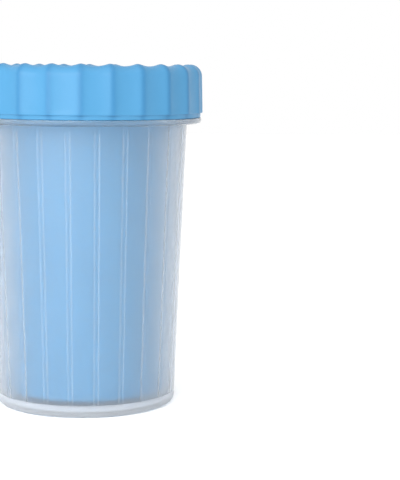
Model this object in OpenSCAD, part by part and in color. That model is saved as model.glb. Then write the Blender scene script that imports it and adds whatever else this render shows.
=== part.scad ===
// Paw washer cup: a tapered cup, a silicone brush sleeve that hangs in it,
// and a scalloped twist collar that holds the sleeve down on the cup's rim.
// The base stands on z = 0, the axis is Z, and the front is -Y.

/* [Cup] */
// Height of the whole washer, with the collar seated
overall_h = 143; // [125:1:170]
// Outer radius of the cup's wall just under the flange
cup_top_r = 42.6; // [42.4:0.1:43]
// Outer radius of the cup's wall at the base
cup_base_r = 37.6; // [37:0.1:40]
// Thickness of the cup's wall
wall_t = 1.8; // [1.6:0.1:2.2]
// Thickness of the cup's floor
floor_t = 2.2; // [1.8:0.1:2.6]
// Number of guide ribs inside the cup
rib_count = 22; // [12:2:36]
// Width of a guide rib
rib_w = 1.7; // [1:0.1:2.2]
// Height of a guide rib from the wall
rib_h = 0.9; // [0.4:0.1:1.2]
// Outer radius of the flange under the collar
flange_r = 48.6; // [48:0.1:49]
// Thickness of the flange
flange_t = 2.4; // [2:0.1:3]

/* [Collar] */
// Outer radius over the ridges
collar_r = 49.25; // [49:0.05:50]
// Height of the collar
collar_h = 21.7; // [21.6:0.1:23]
// Number of grip ridges
ridge_count = 24; // [20:4:28]
// Radius of the hollow between two ridges
flute_r = 35; // [30:1:50]
// Radius of the rounded shoulder
shoulder_r = 4; // [3:0.5:5]
// Radius of the mouth that the paw goes through
mouth_r = 37; // [35:0.5:38]
// Turn between locked and released, in degrees
lock_turn = 60; // [58:1:60]

/* [Brush sleeve] */
// Outer radius of the sleeve's tube at its top
sleeve_top_r = 32.5; // [31:0.5:34]
// Outer radius of the sleeve's tube at its lower end
sleeve_base_r = 30; // [28:0.5:31]
// Thickness of the silicone
sleeve_t = 1.8; // [1.5:0.1:2.2]
// Number of rows of bristles
row_count = 14; // [8:1:16]
// Number of bristles in a row
bristle_count = 24; // [16:2:28]
// Radius of the clear core between the bristle tips
core_r = 13; // [11:0.5:16]
// Radius of a bristle at its root
bristle_root_r = 1.25; // [1:0.05:1.4]
// Radius of a bristle at its tip
bristle_tip_r = 0.75; // [0.6:0.05:0.9]

/* [Hidden] */
fit_gap = 0.3;

// Heights, from the top of the collar down
collar_z = overall_h - collar_h;
flange_z = collar_z - fit_gap - flange_t;
neck_top_z = overall_h - 10;
sleeve_flange_t = 2;
roof_z = neck_top_z + sleeve_flange_t + fit_gap;

// Neck of the cup, and the lugs that lock the collar
neck_r = 43.6;
neck_bore_r = 41.4;
lug_count = 4;
lug_step = 360 / lug_count;
lug_r = 45.1;
lug_h = 3;
lug_z = neck_top_z - 4.5;
cup_lug_turn = 29;
stop_turn = 3;
stop_h = 5;
collar_lug_turn = 26;
collar_lug_gap = 0.4;
collar_lug_h = 4.2;
stop_gap_turn = 0.5;
lug_root = 0.4;
collar_bore_r = 45.5;
bead_r = 44.3;
bead_h = 0.7;

// Foot of the cup
foot_fillet = 2.5;
foot_ring_w = 5;
foot_recess = 0.8;
foot_pad_r = 8;
rib_end_gap = 2;
rib_phase = 10.8;

// Grip of the collar
band_h = 1.5;
ridge_phase = 2.3;
half_ridge = 180 / ridge_count;
land_w = 0.8;
half_flute = half_ridge - asin(land_w / 2 / collar_r);
flute_axis_r = collar_r * cos(half_flute)
    + sqrt(pow(flute_r, 2) - pow(collar_r * sin(half_flute), 2));
valley_r = flute_axis_r - flute_r;
funnel_drop = 4;
funnel_w = 6;

// Brush sleeve
skirt_r = neck_bore_r - 0.4;
skirt_h = 5;
cone_h = 15;
sleeve_flange_r = 44.9;
sleeve_end_z = 5.5;
cone_top_z = neck_top_z - skirt_h;
tube_top_z = cone_top_z - cone_h;
bead_bulge = 1;
end_bead_h = 3;
row_first_z = 12;
row_pitch = (tube_top_z - 2 - row_first_z) / (row_count - 1);

function row_name(i) = str("bristle_row_", i < 10 ? "0" : "", i);

// Outer radius of the cup's wall at height z
function cup_wall_r(z) = cup_base_r + (cup_top_r - cup_base_r) * z / flange_z;

// Outer radius of the sleeve's tube at height z
function tube_r(z) = sleeve_base_r
    + (sleeve_top_r - sleeve_base_r) * (z - sleeve_end_z) / (tube_top_z - sleeve_end_z);

// Points along an arc about c, from angle a0 to angle a1
function arc(c, r, a0, a1, n = 8) =
    [for (i = [0:n]) let (a = a0 + (a1 - a0) * i / n) c + r * [cos(a), sin(a)]];

// A ring of rectangular section over part of a turn
module ring_piece(r_in, r_out, z, h, from, turn) {
    rotate([0, 0, from])
        rotate_extrude(angle = turn, $fn = 128)
            translate([r_in, z]) square([r_out - r_in, h]);
}

// ---- Cup -----------------------------------------------------------------

module cup_shell() {
    foot_r = cup_wall_r(0) - foot_fillet;
    recess_r = foot_r - foot_ring_w;
    inner_foot = foot_fillet + 1;
    rotate_extrude($fn = 192)
        difference() {
            polygon(concat(
                [[0, 0]],
                arc([foot_r, foot_fillet], foot_fillet, -90, 0),
                [[cup_top_r, flange_z],
                 [flange_r - 0.6, flange_z]],
                arc([flange_r - 1.2, flange_z + 1.2], 1.2, -60, 60),
                [[flange_r - 0.6, flange_z + flange_t],
                 [neck_r, flange_z + flange_t],
                 [neck_r, neck_top_z - 0.5],
                 [neck_r - 0.5, neck_top_z],
                 [0, neck_top_z]]));
            polygon(concat(
                [[0, floor_t]],
                arc([cup_wall_r(0) - wall_t - inner_foot, floor_t + inner_foot], inner_foot, -90, 0),
                [[cup_top_r - wall_t, flange_z],
                 [neck_bore_r, flange_z + flange_t],
                 [neck_bore_r, neck_top_z + 1],
                 [0, neck_top_z + 1]]));
            translate([foot_pad_r, -1]) square([recess_r - foot_pad_r, foot_recess + 1]);
        }
}

module guide_rib() {
    low_z = floor_t / 2;
    high_z = flange_z - rib_end_gap;
    root = 0.5;
    translate([0, rib_w / 2, 0]) rotate([90, 0, 0])
        linear_extrude(rib_w)
            polygon([
                [cup_wall_r(low_z) - wall_t - rib_h, low_z],
                [cup_wall_r(high_z) - wall_t - rib_h, high_z],
                [cup_wall_r(high_z) - wall_t + root, high_z + rib_h],
                [cup_wall_r(low_z) - wall_t + root, low_z]]);
}

module cup_lugs() {
    for (i = [0:lug_count - 1]) {
        from = i * lug_step - stop_turn;
        ring_piece(neck_r - lug_root, lug_r, lug_z, lug_h, from, stop_turn + cup_lug_turn);
        ring_piece(neck_r - lug_root, lug_r, lug_z - stop_h, stop_h + lug_root, from, stop_turn);
    }
}

module cup_body() {
    color([0.86, 0.86, 0.95, 0.55]) {
        cup_shell();
        for (i = [0:rib_count - 1]) rotate([0, 0, i * 360 / rib_count - 90 + rib_phase]) guide_rib();
        cup_lugs();
    }
}

// ---- Brush sleeve --------------------------------------------------------

module brush_sleeve() {
    color([0.3, 0.66, 0.92])
        rotate_extrude($fn = 192)
            polygon([
                [sleeve_flange_r, neck_top_z],
                [sleeve_flange_r, neck_top_z + sleeve_flange_t],
                [skirt_r - sleeve_t, neck_top_z + sleeve_flange_t],
                [skirt_r - sleeve_t, cone_top_z],
                [sleeve_top_r - sleeve_t, tube_top_z],
                [sleeve_base_r - sleeve_t, sleeve_end_z],
                [sleeve_base_r + bead_bulge, sleeve_end_z],
                [sleeve_base_r + bead_bulge, sleeve_end_z + end_bead_h - bead_bulge],
                [tube_r(sleeve_end_z + end_bead_h), sleeve_end_z + end_bead_h],
                [sleeve_top_r, tube_top_z],
                [skirt_r, cone_top_z],
                [skirt_r, neck_top_z]]);
}

// One row of bristles, cut off where they meet the inside of the tube
module bristle_row(i) {
    z = row_first_z + (i - 1) * row_pitch;
    stagger = (i % 2) * 180 / bristle_count;
    band = 2 * bristle_root_r;
    color([0.36, 0.72, 0.96])
        intersection() {
            for (k = [0:bristle_count - 1])
                rotate([0, 0, k * 360 / bristle_count + stagger])
                    translate([core_r, 0, z]) rotate([0, 90, 0])
                        cylinder(h = sleeve_top_r - core_r,
                                 r1 = bristle_tip_r, r2 = bristle_root_r, $fn = 24);
            translate([0, 0, z - band])
                cylinder(h = 2 * band,
                         r1 = tube_r(z - band) - sleeve_t,
                         r2 = tube_r(z + band) - sleeve_t, $fn = 192);
        }
}

// ---- Twist collar --------------------------------------------------------

// Section of the collar above its band, before the hollows are cut
module collar_section() {
    polygon(concat(
        [[mouth_r, roof_z],
         [mouth_r, overall_h - funnel_drop],
         [mouth_r + funnel_w, overall_h]],
        arc([collar_r - shoulder_r, overall_h - shoulder_r], shoulder_r, 90, 0),
        [[collar_r, collar_z + band_h],
         [collar_bore_r, collar_z + band_h],
         [collar_bore_r, roof_z]]));
}

// Outline of the grip: a disc with a shallow hollow between each pair of ridges
module grip_outline() {
    difference() {
        circle(collar_r + 1, $fn = 192);
        for (i = [0:ridge_count - 1])
            rotate((i + 0.5) * 360 / ridge_count - 90 + ridge_phase)
                translate([flute_axis_r, 0]) circle(flute_r, $fn = 128);
    }
}

module collar_lugs() {
    for (i = [0:lug_count - 1])
        ring_piece(neck_r + collar_lug_gap, collar_bore_r + lug_root,
                   lug_z - collar_lug_gap - collar_lug_h, collar_lug_h,
                   i * lug_step + lock_turn + stop_gap_turn, collar_lug_turn);
}

module twist_collar() {
    color([0.42, 0.74, 0.96]) {
        intersection() {
            rotate_extrude($fn = 192) collar_section();
            translate([0, 0, collar_z]) linear_extrude(collar_h + 1) grip_outline();
        }
        ring_piece(collar_bore_r, valley_r, collar_z, band_h, 0, 360);
        ring_piece(bead_r, collar_bore_r + lug_root, neck_top_z - fit_gap - bead_h, bead_h, 0, 360);
        collar_lugs();
    }
}

cup_body();
brush_sleeve();
twist_collar();
for (i = [1:row_count])
    bristle_row(i);
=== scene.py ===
"""Looks of the paw washer cup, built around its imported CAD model."""

import math

import bpy
import numpy as np
from mathutils import Matrix, Vector


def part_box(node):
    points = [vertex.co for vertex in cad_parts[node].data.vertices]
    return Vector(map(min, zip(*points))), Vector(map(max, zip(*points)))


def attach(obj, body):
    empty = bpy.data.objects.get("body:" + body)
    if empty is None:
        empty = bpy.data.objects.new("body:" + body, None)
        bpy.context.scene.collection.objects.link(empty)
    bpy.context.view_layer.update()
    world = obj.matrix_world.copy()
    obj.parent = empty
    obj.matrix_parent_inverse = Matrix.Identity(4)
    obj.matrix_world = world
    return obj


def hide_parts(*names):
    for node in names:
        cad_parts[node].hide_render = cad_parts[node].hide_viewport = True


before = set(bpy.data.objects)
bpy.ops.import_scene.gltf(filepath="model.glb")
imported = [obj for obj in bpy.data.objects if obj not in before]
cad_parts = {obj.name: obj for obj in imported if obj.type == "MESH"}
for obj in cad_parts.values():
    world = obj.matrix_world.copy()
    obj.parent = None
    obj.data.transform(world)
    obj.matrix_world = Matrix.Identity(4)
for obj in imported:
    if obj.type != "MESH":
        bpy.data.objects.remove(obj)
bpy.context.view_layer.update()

MM = 0.001

# ---- Sizes: outer ones from the imported CAD parts' bounds, the rest as in the CAD or set for the look ----

COLLAR_LOW, COLLAR_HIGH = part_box("twist_collar")
SLEEVE_LOW, SLEEVE_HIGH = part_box("brush_sleeve")
_, CUP_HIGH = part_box("cup_body")

TOP_Z = COLLAR_HIGH.z
COLLAR_R = COLLAR_HIGH.x
COLLAR_Z = COLLAR_LOW.z
FLANGE_R = CUP_HIGH.x
NECK_TOP_Z = CUP_HIGH.z
SLEEVE_FLANGE_R = SLEEVE_HIGH.x
SLEEVE_TOP_Z = SLEEVE_HIGH.z
SLEEVE_END_Z = SLEEVE_LOW.z

RIDGES = 24
RIDGE_PHASE = math.radians(2.2)
RIDGE_HEIGHT = 0.89 * MM
CROWN_RIDGE_HEIGHT = 0.95 * MM
CREST_ROUND = 0.2
VALLEY_R = COLLAR_R - RIDGE_HEIGHT
RIDGE_STEPS = 24
LIP_STEPS = 4
SIDE_STEPS = 14
SHOULDER_STEPS = 12
BAND_H = 1.5 * MM
BAND_DROP = 0.26 * MM
LIP = 0.4 * MM
FLARE = 0.22 * MM
FLARE_H = 2.2 * MM
DRAFT = 0.35 * MM
COLLAR_BORE_R = 45.5 * MM
MOUTH_R = 37 * MM
FUNNEL_R = 41.5 * MM
FUNNEL_H = 4.2 * MM
CROWN_FADE_R = 39.5 * MM
SHOULDER_R = 4 * MM
ROOF_Z = SLEEVE_TOP_Z + 0.3 * MM

FLANGE_Z = COLLAR_Z - 2.7 * MM
FLANGE_T = 2.4 * MM
CUP_TOP_R = 42.6 * MM
CUP_BASE_R = 37.6 * MM
NECK_R = 43.6 * MM
NECK_BORE_R = 41.4 * MM
WALL_T = 1.8 * MM
FLOOR_T = 2.2 * MM
FOOT_FILLET = 2.5 * MM
AXIS_R = 0.4 * MM
GATE_R = 8 * MM
STANDING_RING_R = 30.7 * MM
BASE_RECESS = 0.8 * MM
RIBS = 22
RIB_PHASE = math.radians(10.8)
RIB_W = 1.75 * MM
RIB_H = 0.16 * MM
RIB_FLANK = 0.9 * MM
RIB_FLANK_STEPS = 6
STEEP_STEPS = (2, 3)
FOOT_TOP_Z = FLOOR_T + 0.4 * MM

LUGS = 4
LUG_R = 45.1 * MM
LUG_Z = NECK_TOP_Z - 4.5 * MM
LUG_H = 3 * MM
LUG_TURN = math.radians(29)
STOP_TURN = math.radians(3)
STOP_H = 5 * MM

SLEEVE_T = 1.8 * MM
TUBE_BASE_R = 30 * MM
TUBE_TOP_R = 32.5 * MM
CONE_TOP_Z = NECK_TOP_Z - 5 * MM
TUBE_TOP_Z = CONE_TOP_Z - 15 * MM
BEAD_R = TUBE_BASE_R + 1 * MM
BEAD_H = 2.4 * MM
SKIRT_R = NECK_BORE_R - 0.4 * MM
SLEEVE_STEPS = 144

BRISTLE_ROWS = sorted(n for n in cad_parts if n.startswith("bristle_row"))
BRISTLES = 24
BRISTLE_ROOT_R = 1.25 * MM
BRISTLE_TIP_R = 0.75 * MM
BRISTLE_FLARE = 0.55 * MM
BRISTLE_SIDES = 12
CORE_R = 13 * MM

TURN = 2 * math.pi

# The cup's material slots, in the order of cup_finishes below.
OUTSIDE, INSIDE, RIB_HIGHLIGHT, FOOT, FLOOR = range(5)

# Light powers in watts, and where the lights point.
KEY_POWER = 12.5
TOP_POWER = 2.5
LIGHT_TARGET = (0, 0, 70 * MM)


# ---- Mesh helpers ---------------------------------------------------------------

def rounded(corners, steps=6, closed=False):
    """Points along a line of corners (x, z, radius), each bend an arc of its own radius."""
    points = []
    count = len(corners)
    for i, (x, z, radius) in enumerate(corners):
        here = np.array([x, z])
        if radius == 0 or (not closed and i in (0, count - 1)):
            points.append(here)
            continue
        before = np.array(corners[i - 1][:2]) - here
        after = np.array(corners[(i + 1) % count][:2]) - here
        before /= np.linalg.norm(before)
        after /= np.linalg.norm(after)
        half = math.acos(np.clip(before @ after, -1, 1)) / 2
        middle = (before + after) / np.linalg.norm(before + after)
        centre = here + middle * radius / math.sin(half)
        start = here + before * radius / math.tan(half) - centre
        end = here + after * radius / math.tan(half) - centre
        sweep = math.atan2(start[0] * end[1] - start[1] * end[0], start @ end)
        for k in range(steps + 1):
            a = sweep * k / steps
            turn = np.array([[math.cos(a), -math.sin(a)], [math.sin(a), math.cos(a)]])
            points.append(centre + turn @ start)
    return np.array(points)


def refined(points, longest):
    """The same line with its long stretches cut into steps no longer than that."""
    out = [points[0]]
    for a, b in zip(points[:-1], points[1:]):
        n = max(1, math.ceil(np.linalg.norm(b - a) / longest))
        out += [a + (b - a) * k / n for k in range(1, n + 1)]
    return np.array(out)


def ring_quads(rings, around, first=0, close_path=False):
    """Faces between rings of vertices that each go all the way round."""
    faces = []
    last = rings if close_path else rings - 1
    for i in range(last):
        j = (i + 1) % rings
        for k in range(around):
            m = (k + 1) % around
            faces.append((first + i * around + k, first + i * around + m,
                          first + j * around + m, first + j * around + k))
    return faces


def new_piece(name, verts, faces, sharp_angle):
    """A smooth-shaded object, with its edges sharp past that many degrees."""
    mesh = bpy.data.meshes.new(name)
    mesh.from_pydata([tuple(v) for v in verts], [], faces)
    mesh.update()
    mesh.shade_smooth()
    mesh.set_sharp_from_angle(angle=math.radians(sharp_angle))
    piece = bpy.data.objects.new(name, mesh)
    bpy.context.scene.collection.objects.link(piece)
    return piece


def on_circle(r, z, angle):
    """A point at that radius and height; angle 0 is the front, and grows towards +X."""
    return np.stack([r * np.sin(angle), -r * np.cos(angle), z + 0 * angle], -1)


# ---- Collar ---------------------------------------------------------------------

def ridge_shape(angle):
    """How far a point round the collar rises from a hollow, 0, to a ridge, 1."""
    cell = TURN / RIDGES
    u = np.abs((angle - RIDGE_PHASE) % cell / (cell / 2) - 1)
    flat = 1 - CREST_ROUND
    past = np.clip(u - flat, 0, None)
    top = flat ** 2 + flat * CREST_ROUND
    crest = flat ** 2 + 2 * flat * (past - past ** 2 / (2 * CREST_ROUND))
    return np.where(u < flat, u ** 2, crest) / top


def collar_outline():
    """Rows of the collar's section: radius, height, outward direction, ridge height."""
    low_z = COLLAR_Z - BAND_DROP
    foot_z = COLLAR_Z + BAND_H
    crown_z = TOP_Z - CROWN_RIDGE_HEIGHT
    crown_r = VALLEY_R - SHOULDER_R
    band_r = VALLEY_R - 0.05 * MM
    rows = []

    def add(points, height):
        for r, z in points:
            rows.append((r, z, 1, 0, height))

    # The band under the grips.
    add([(COLLAR_BORE_R, low_z), (COLLAR_BORE_R + 0.3 * MM, low_z)], 0)
    add([(VALLEY_R - 0.25 * MM, low_z), (band_r, low_z + 0.2 * MM)], 0)
    add([(band_r, foot_z - 0.1 * MM), (VALLEY_R, foot_z)], 0)

    # The rounded lip at the foot of the grips.
    add([(VALLEY_R + FLARE * 0.5, foot_z)], RIDGE_HEIGHT - LIP)
    for k in range(LIP_STEPS + 1):
        a = math.pi / 2 * k / LIP_STEPS
        inset = 1 - math.sin(a)
        add([(VALLEY_R + FLARE - LIP * 0.4 * inset, foot_z + LIP * (1 - math.cos(a)))],
            RIDGE_HEIGHT - FLARE - LIP * 0.6 * inset)

    # The side, which leans in and flares out near its foot; left is how much of the flare remains.
    side_z = crown_z - SHOULDER_R
    for k in range(1, SIDE_STEPS + 1):
        t = k / SIDE_STEPS
        z = foot_z + LIP + (side_z - foot_z - LIP) * t
        left = max(0.0, 1 - (z - foot_z) / FLARE_H)
        add([(VALLEY_R + FLARE * left ** 2 - DRAFT * t, z)], RIDGE_HEIGHT - FLARE * left)

    # The shoulder.
    for k in range(1, SHOULDER_STEPS + 1):
        a = math.pi / 2 * k / SHOULDER_STEPS
        height = RIDGE_HEIGHT + (CROWN_RIDGE_HEIGHT - RIDGE_HEIGHT) * k / SHOULDER_STEPS
        rows.append((crown_r - DRAFT + SHOULDER_R * math.cos(a), crown_z - SHOULDER_R * (1 - math.sin(a)),
                     math.cos(a), math.sin(a), height))

    # The funnel down to the mouth, then the hidden inside.
    funnel = rounded([(crown_r - DRAFT, crown_z, 0), (FUNNEL_R, crown_z, 3 * MM),
                      (MOUTH_R, TOP_Z - FUNNEL_H, 1.0 * MM), (MOUTH_R, ROOF_Z, 0)], 8)
    for r, z in refined(funnel[1:], 0.6 * MM):
        fade = np.clip((r - CROWN_FADE_R) / (crown_r - CROWN_FADE_R), 0, 1)
        rows.append((r, z, 0, 1, CROWN_RIDGE_HEIGHT * fade ** 1.5))
    inside = rounded([(MOUTH_R, ROOF_Z, 0), (COLLAR_BORE_R, ROOF_Z, 0.4 * MM),
                      (COLLAR_BORE_R, low_z, 0)], 4)
    add(inside[1:-1], 0)
    return np.array(rows)


def collar_piece():
    """The collar as one closed skin, with an attribute that darkens its colour towards each ridge crest:
    painted shade for the dark lines along the ridges.
    """
    around = RIDGES * RIDGE_STEPS
    angle = np.arange(around) * TURN / around
    rise = ridge_shape(angle)
    verts = []
    rows = collar_outline()
    for r, z, nr, nz, height in rows:
        lift = rise * height
        verts.append(on_circle(r + nr * lift, z + nz * lift, angle))
    faces = ring_quads(len(rows), around, close_path=True)
    piece = new_piece("scalloped_collar", np.concatenate(verts), faces, 40)
    # Painted shade: the colour is darkest on the ridge crests and unchanged in the hollows.
    ridge_shade_mask = piece.data.attributes.new("painted_ridge_shade", "FLOAT", "POINT")
    ridge_shade_mask.data.foreach_set("value", np.tile(rise ** 4, len(rows)))
    return piece


# ---- Cup ------------------------------------------------------------------------

def cup_outline():
    """The cup's section, from under its centre, up the outside, over the rim and down to its floor."""
    inside_r = CUP_BASE_R - WALL_T
    section = rounded([
        (AXIS_R, 0, 0), (GATE_R, 0, 0.3 * MM), (GATE_R + 0.5 * MM, BASE_RECESS, 0.3 * MM),
        (STANDING_RING_R - 0.5 * MM, BASE_RECESS, 0.3 * MM), (STANDING_RING_R, 0, 0.3 * MM),
        (CUP_BASE_R, 0, FOOT_FILLET), (CUP_TOP_R, FLANGE_Z, 0.6 * MM),
        (FLANGE_R, FLANGE_Z, 1.1 * MM), (FLANGE_R, FLANGE_Z + FLANGE_T, 0.5 * MM),
        (NECK_R, FLANGE_Z + FLANGE_T, 0.3 * MM), (NECK_R, NECK_TOP_Z, 0.6 * MM),
        (NECK_BORE_R, NECK_TOP_Z, 0.4 * MM), (NECK_BORE_R, FLANGE_Z + FLANGE_T, 1 * MM),
        (CUP_TOP_R - WALL_T, FLANGE_Z, 1 * MM), (inside_r, FLOOR_T, 3.5 * MM), (AXIS_R, FLOOR_T, 0)])
    return refined(section, 3 * MM)


def rib_rise(angle):
    """1 on a guide rib inside the cup, 0 between ribs, easing from one to the other."""
    cell = TURN / RIBS
    off = np.abs((angle - RIB_PHASE + cell / 2) % cell - cell / 2) * CUP_BASE_R
    t = np.clip((RIB_W / 2 + RIB_FLANK / 2 - off) / RIB_FLANK, 0, 1)
    return t * t * (3 - 2 * t)


def rib_angles():
    """Angles round the cup, closer together at the flanks of the ribs."""
    flank = np.linspace(RIB_W - RIB_FLANK, RIB_W + RIB_FLANK, RIB_FLANK_STEPS + 1) / 2
    across = [*-flank[::-1], 0, *flank]
    cell = TURN / RIBS
    rib = [x / CUP_BASE_R for x in across]
    gap = list(np.linspace(rib[-1], cell + rib[0], 9)[1:-1])
    return np.array([RIB_PHASE + i * cell + a for i in range(RIBS) for a in rib + gap])


def cup_piece():
    """The cup as one closed skin, with shallow guide ribs down the inside of its wall."""
    angle = rib_angles()
    around = len(angle)
    rib = rib_rise(angle)
    outline = cup_outline()
    peak = int(np.argmax(outline[:, 1]))
    rib_top = FLANGE_Z - 0.3 * MM
    verts = []
    for i, (r, z) in enumerate(outline):
        radius = np.full(around, r)
        if i > peak and FLOOR_T + 0.2 * MM < z < rib_top:
            fade = min(1.0, (z - FLOOR_T) / (3 * MM), (rib_top - z) / (1.5 * MM))
            radius -= rib * RIB_H * fade
        verts.append(on_circle(radius, z, angle))
    faces = ring_quads(len(outline), around)
    faces.append(tuple(range(around))[::-1])
    last = (len(outline) - 1) * around
    faces.append(tuple(range(last, last + around)))
    return new_piece("frosted_cup", np.concatenate(verts), faces, 35)


def paint_cup(cup):
    """Give each face of the cup its material slot, by where it is in the section and round the cup."""
    rim_row = int(np.argmax(cup_outline()[:, 1]))
    around = len(rib_angles())
    for face in cup.data.polygons:
        row, column = divmod(face.vertices[0], around)
        height = cup.data.vertices[face.vertices[0]].co.z
        column %= around // RIBS
        steep = column in STEEP_STEPS or column - RIB_FLANK_STEPS - 2 in STEEP_STEPS
        outside = row < rim_row
        # Below this height the cup takes whiter finishes: painted light at its base.
        if height < FOOT_TOP_Z:
            face.material_index = FOOT if outside else FLOOR
        elif outside:
            face.material_index = OUTSIDE
        # The steep rib flanks take the whiter finish: a painted highlight along each rib.
        elif steep and FLOOR_T + 0.5 * MM < height < FLANGE_Z - 2 * MM:
            face.material_index = RIB_HIGHLIGHT
        else:
            face.material_index = INSIDE


def lug_piece():
    """The four lugs and stops on the cup's neck, each one L-shaped block."""
    verts, faces = [], []

    def block(z0, z1, a0, a1):
        steps = max(2, math.ceil((a1 - a0) / math.radians(2)))
        first = len(verts)
        section = rounded([(NECK_R - 0.3 * MM, z0, 0), (LUG_R, z0, 0.3 * MM), (LUG_R, z1, 0.3 * MM),
                           (NECK_R - 0.3 * MM, z1, 0)], 3)
        for k in range(steps + 1):
            a = a0 + (a1 - a0) * k / steps
            for r, z in section:
                verts.append(on_circle(r, z, np.array([a]))[0])
        n = len(section)
        for k in range(steps):
            for m in range(n):
                j = (m + 1) % n
                here, there = first + k * n, first + (k + 1) * n
                faces.append((here + m, there + m, there + j, here + j))
        faces.append(tuple(first + m for m in range(n)))
        faces.append(tuple(first + steps * n + m for m in range(n))[::-1])

    for i in range(LUGS):
        start = TURN * i / LUGS + math.pi / 2
        block(LUG_Z, LUG_Z + LUG_H, start - STOP_TURN, start + LUG_TURN)
        block(LUG_Z - STOP_H, LUG_Z + 0.01 * MM, start - STOP_TURN, start)
    return new_piece("cup_lugs", verts, faces, 35)


# ---- Brush sleeve ---------------------------------------------------------------

def sleeve_outline():
    """The sleeve's section: flange, skirt, cone and tube, with a bead round its lower end."""
    end_z = SLEEVE_END_Z
    section = rounded([
        (SKIRT_R - SLEEVE_T, CONE_TOP_Z, 2 * MM), (SKIRT_R - SLEEVE_T, SLEEVE_TOP_Z, 0.8 * MM),
        (SLEEVE_FLANGE_R, SLEEVE_TOP_Z, 0.5 * MM), (SLEEVE_FLANGE_R, NECK_TOP_Z, 0.5 * MM),
        (SKIRT_R, NECK_TOP_Z, 0.2 * MM), (SKIRT_R, CONE_TOP_Z, 3 * MM),
        (TUBE_TOP_R, TUBE_TOP_Z, 8 * MM), (TUBE_BASE_R + 0.1 * MM, end_z + BEAD_H + 1.2 * MM, 0.8 * MM),
        (BEAD_R, end_z + BEAD_H, 0.6 * MM), (BEAD_R, end_z, 0.8 * MM),
        (TUBE_BASE_R - SLEEVE_T, end_z, 0.6 * MM), (TUBE_TOP_R - SLEEVE_T, TUBE_TOP_Z, 8 * MM),
    ], closed=True)
    return refined(np.vstack([section, section[:1]]), 3 * MM)[:-1]


def sleeve_piece():
    angle = np.arange(SLEEVE_STEPS) * TURN / SLEEVE_STEPS
    outline = sleeve_outline()
    verts = [on_circle(r, z, angle) for r, z in outline]
    faces = ring_quads(len(outline), SLEEVE_STEPS, close_path=True)
    faces = [f[::-1] for f in faces]
    return new_piece("silicone_sleeve", np.concatenate(verts), faces, 40)


def bristle_row_piece(node, index, dice):
    """One row of soft tapered bristles with rounded tips, rooted in the sleeve's wall."""
    low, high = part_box(node)
    row_z = (low.z + high.z) / 2
    root = high.x + 0.3 * MM
    tip = CORE_R
    sides = BRISTLE_SIDES
    root_end = 0.08
    stations = np.concatenate([[0, 0.03, root_end], np.linspace(0.16, 0.93, 6)])
    stagger = (index % 2) * TURN / BRISTLES / 2
    verts, faces = [], []
    around = np.arange(sides) * TURN / sides
    for k in range(BRISTLES):
        angle = k * TURN / BRISTLES + stagger + math.pi / 2
        radial = np.array([math.sin(angle), -math.cos(angle), 0])
        side = np.array([math.cos(angle), math.sin(angle), 0])
        droop = dice.uniform(0.4, 1.1) * MM
        sway = dice.uniform(-0.5, 0.5) * MM
        rings = []
        for t in stations:
            flare = BRISTLE_FLARE * max(0.0, 1 - t / root_end) ** 2
            rings.append((t, BRISTLE_ROOT_R + (BRISTLE_TIP_R - BRISTLE_ROOT_R) * t + flare))
        cap = BRISTLE_TIP_R / (root - tip)
        for degrees in (20, 45, 68, 85):
            a = math.radians(degrees)
            rings.append((1 - cap + cap * math.sin(a), BRISTLE_TIP_R * math.cos(a)))
        first = len(verts)
        for t, r in rings:
            bend = side * sway * t * t + np.array([0, 0, row_z - droop * t * t])
            centre = radial * (root + (tip - root) * t) + bend
            for a in around:
                verts.append(centre + side * r * math.cos(a) + np.array([0, 0, r * math.sin(a)]))
        faces += ring_quads(len(rings), sides, first)
        faces.append(tuple(range(first, first + sides))[::-1])
        end = first + (len(rings) - 1) * sides
        faces.append(tuple(range(end, end + sides)))
    return new_piece(node.replace("bristle_row", "bristles"), verts, faces, 60)


# ---- Materials ------------------------------------------------------------------

def material(name, **sockets):
    """A Principled material with those values on its own sockets, and its node tree."""
    made = bpy.data.materials.new(name)
    made.use_nodes = True
    shader = made.node_tree.nodes["Principled BSDF"]
    for socket, value in sockets.items():
        shader.inputs[socket.replace("_", " ")].default_value = value
    return made, made.node_tree, shader


def noise(tree, scale, detail=3, roughness=0.55, stretch=(1, 1, 1)):
    """Noise in the piece's own coordinates, in metres, stretched along an axis if asked."""
    place = tree.nodes.new("ShaderNodeTexCoord")
    shape = tree.nodes.new("ShaderNodeMapping")
    shape.inputs["Scale"].default_value = stretch
    grain = tree.nodes.new("ShaderNodeTexNoise")
    grain.inputs["Scale"].default_value = scale
    grain.inputs["Detail"].default_value = detail
    grain.inputs["Roughness"].default_value = roughness
    tree.links.new(place.outputs["Object"], shape.inputs["Vector"])
    tree.links.new(shape.outputs["Vector"], grain.inputs["Vector"])
    return grain.outputs["Fac"]


def ranged(tree, value, low, high):
    """That noise stretched to run from low to high."""
    node = tree.nodes.new("ShaderNodeMapRange")
    node.inputs["From Min"].default_value = 0.3
    node.inputs["From Max"].default_value = 0.7
    node.inputs["To Min"].default_value = low
    node.inputs["To Max"].default_value = high
    tree.links.new(value, node.inputs["Value"])
    return node.outputs["Result"]


def colour_drift(tree, value, dark, light):
    """A colour that drifts between two close ones with that noise."""
    ramp = tree.nodes.new("ShaderNodeValToRGB")
    ramp.color_ramp.elements[0].position = 0.3
    ramp.color_ramp.elements[1].position = 0.7
    ramp.color_ramp.elements[0].color = (*dark, 1)
    ramp.color_ramp.elements[1].color = (*light, 1)
    tree.links.new(value, ramp.inputs["Fac"])
    return ramp.outputs["Color"]


def bumped(tree, shader, value, strength, depth):
    """Raise the shader's surface by that noise."""
    bump = tree.nodes.new("ShaderNodeBump")
    bump.inputs["Strength"].default_value = strength
    bump.inputs["Distance"].default_value = depth
    tree.links.new(value, bump.inputs["Height"])
    tree.links.new(bump.outputs["Normal"], shader.inputs["Normal"])


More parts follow.
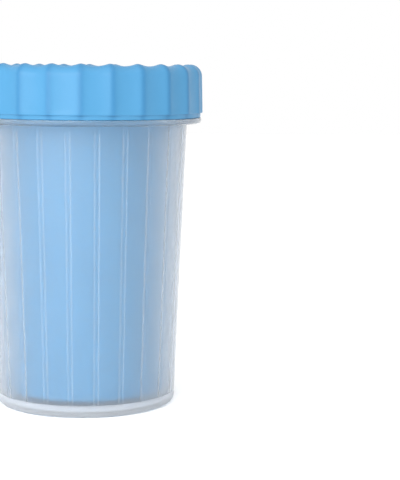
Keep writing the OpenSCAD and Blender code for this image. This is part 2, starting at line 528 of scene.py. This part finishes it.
def collar_plastic():
    """Satin blue moulded plastic with a fine spark-eroded grain, and painted shade that darkens it on the
    ridges.
    """
    made, tree, shader = material("collar_plastic", IOR=1.49, Specular_IOR_Level=0.3)
    drift = noise(tree, 38, 4)
    # Painted shade: a darker blue mixed in towards the ridge crests.
    ridge_shade_mix = tree.nodes.new("ShaderNodeMixRGB")
    ridge_shade_mask = tree.nodes.new("ShaderNodeAttribute")
    ridge_shade_mask.attribute_name = "painted_ridge_shade"
    tree.links.new(ridge_shade_mask.outputs["Fac"], ridge_shade_mix.inputs["Fac"])
    blue = colour_drift(tree, drift, (0.05, 0.218, 0.40), (0.06, 0.232, 0.42))
    tree.links.new(blue, ridge_shade_mix.inputs["Color1"])
    ridge_shade_mix.inputs["Color2"].default_value = (0.036, 0.178, 0.35, 1)
    tree.links.new(ridge_shade_mix.outputs["Color"], shader.inputs["Base Color"])
    tree.links.new(ranged(tree, noise(tree, 160, 5), 0.36, 0.48), shader.inputs["Roughness"])
    bumped(tree, shader, noise(tree, 2600, 2), 0.12, 0.05 * MM)
    return made


def frosted(name, low, high, transmission, dark=(0.86, 0.91, 0.97), light=(0.875, 0.925, 0.98)):
    """Milky translucent polypropylene, between two roughnesses."""
    made, tree, shader = material(name, IOR=1.49, Transmission_Weight=transmission)
    drift = noise(tree, 26, 4, stretch=(1, 1, 0.35))
    tree.links.new(colour_drift(tree, drift, dark, light), shader.inputs["Base Color"])
    tree.links.new(ranged(tree, noise(tree, 90, 5), low, high), shader.inputs["Roughness"])
    return made


def silicone(name, dark, light):
    """Soft matte silicone with a faint powdery sheen."""
    made, tree, shader = material(name, IOR=1.41, Sheen_Weight=0.15, Sheen_Roughness=0.5)
    drift = noise(tree, 45, 4)
    tree.links.new(colour_drift(tree, drift, dark, light), shader.inputs["Base Color"])
    tree.links.new(ranged(tree, noise(tree, 220, 4), 0.5, 0.64), shader.inputs["Roughness"])
    bumped(tree, shader, noise(tree, 1500, 3), 0.1, 0.05 * MM)
    return made


def floor_finish():
    """White paper, faintly lit from within so that it stays as white as the background."""
    made, tree, shader = material("pale_floor", Emission_Color=(1, 1, 1, 1), Emission_Strength=0.15)
    drift = noise(tree, 3, 3)
    pale = colour_drift(tree, drift, (0.97, 0.97, 0.97), (0.985, 0.985, 0.985))
    tree.links.new(pale, shader.inputs["Base Color"])
    tree.links.new(ranged(tree, noise(tree, 60, 3), 0.7, 0.8), shader.inputs["Roughness"])
    return made


# ---- The studio -----------------------------------------------------------------

def look_at(thing, target):
    thing.rotation_mode = "QUATERNION"
    thing.rotation_quaternion = (Vector(target) - thing.location).to_track_quat("-Z", "Y")


def soft_light(name, place, size, power):
    """A rectangular light that faces the middle of the cup."""
    lamp = bpy.data.lights.new(name, "AREA")
    lamp.shape = "RECTANGLE"
    lamp.size, lamp.size_y = size
    lamp.energy = power
    light = bpy.data.objects.new(name, lamp)
    light.location = place
    bpy.context.scene.collection.objects.link(light)
    look_at(light, LIGHT_TARGET)


def white_surroundings():
    world = bpy.data.worlds.new("studio")
    bpy.context.scene.world = world
    world.use_nodes = True
    world.node_tree.nodes["Background"].inputs["Color"].default_value = (1, 1, 1, 1)


def studio():
    """A plain white floor in white surroundings, with one large light in front and a weak one above."""
    floor_mesh = bpy.data.meshes.new("floor")
    half, squares = 2.5, 8
    n = squares + 1
    line = np.linspace(-half, half, n)
    verts = [(x, y, 0) for y in line for x in line]
    corners = [i + j * n for j in range(squares) for i in range(squares)]
    faces = [(c, c + 1, c + 1 + n, c + n) for c in corners]
    floor_mesh.from_pydata(verts, [], faces)
    floor = bpy.data.objects.new("floor", floor_mesh)
    bpy.context.scene.collection.objects.link(floor)
    floor.data.materials.append(floor_finish())
    white_surroundings()
    soft_light("key", (-0.45, -1.02, 0.5), (1.1, 0.8), KEY_POWER)
    soft_light("top", (0, -0.45, 1.05), (1.0, 0.7), TOP_POWER)


def camera():
    """Just below the level of the collar's top, looking slightly down, with the cup left of the middle."""
    distance, aside, height = 0.6145, 0.0485, 0.1415
    down, roll = math.radians(6.73), math.radians(0.42)
    lens = 109.2
    data = bpy.data.cameras.new("camera")
    data.sensor_width = 36
    data.lens = lens
    data.clip_start = 0.02
    cam = bpy.data.objects.new("camera", data)
    turn = Matrix.Rotation(math.pi / 2 - down, 4, "X") @ Matrix.Rotation(roll, 4, "Z")
    cam.matrix_world = Matrix.Translation((aside, -distance, height)) @ turn
    bpy.context.scene.collection.objects.link(cam)
    bpy.context.scene.camera = cam


# ---- Putting it together --------------------------------------------------------

def finish_piece(piece, finishes, body, slot, *nodes):
    """Give a piece its materials and its body, and hide the CAD nodes that it stands for. The slot is not
    used.
    """
    for finish in finishes:
        piece.data.materials.append(finish)
    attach(piece, body)
    if nodes:
        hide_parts(*nodes)
    return piece


camera()
studio()
bpy.context.scene.view_settings.view_transform = "Standard"

collar_finish = collar_plastic()
outer_frost = frosted("frosted_outside", 0.18, 0.25, 0.955)
inner_frost = frosted("frosted_inside", 0.46, 0.56, 0.955)
# Whiter, less clear finish for the steep rib flanks: a painted highlight for the bright lines along the
# ribs.
rib_highlight_frost = frosted("frosted_rib_painted_highlight", 0.4, 0.5, 0.62, (0.91, 0.93, 0.98), (0.93, 0.95, 0.99))
# Whiter, less clear foot band and floor: painted light that brightens the band at the base and lifts the
# grey shade above the cup's floor.
foot_lightened_frost = frosted("frosted_foot_painted_light", 0.36, 0.46, 0.8, (0.89, 0.935, 0.995), (0.905, 0.95, 1.0))
floor_lightened_frost = frosted("frosted_floor_painted_light", 0.46, 0.56, 0.4, (0.9, 0.94, 0.99), (0.92, 0.955, 0.995))
sleeve_finish = silicone("silicone", (0.07, 0.35, 0.59), (0.08, 0.37, 0.62))
bristle_finish = silicone("silicone_bristle", (0.07, 0.35, 0.59), (0.085, 0.375, 0.625))

finish_piece(collar_piece(), [collar_finish], "collar", "collar_plastic", "twist_collar")

cup_finishes = [outer_frost, inner_frost, rib_highlight_frost, foot_lightened_frost, floor_lightened_frost]
paint_cup(finish_piece(cup_piece(), cup_finishes, "cup", "frosted_cup", "cup_body"))
finish_piece(lug_piece(), [outer_frost], "cup", "frosted_cup")

finish_piece(sleeve_piece(), [sleeve_finish], "sleeve", "silicone_sleeve", "brush_sleeve")
dice = np.random.RandomState(7)
for index, node in enumerate(BRISTLE_ROWS, 1):
    row = bristle_row_piece(node, index, dice)
    finish_piece(row, [bristle_finish], "sleeve", "silicone_bristles", node)
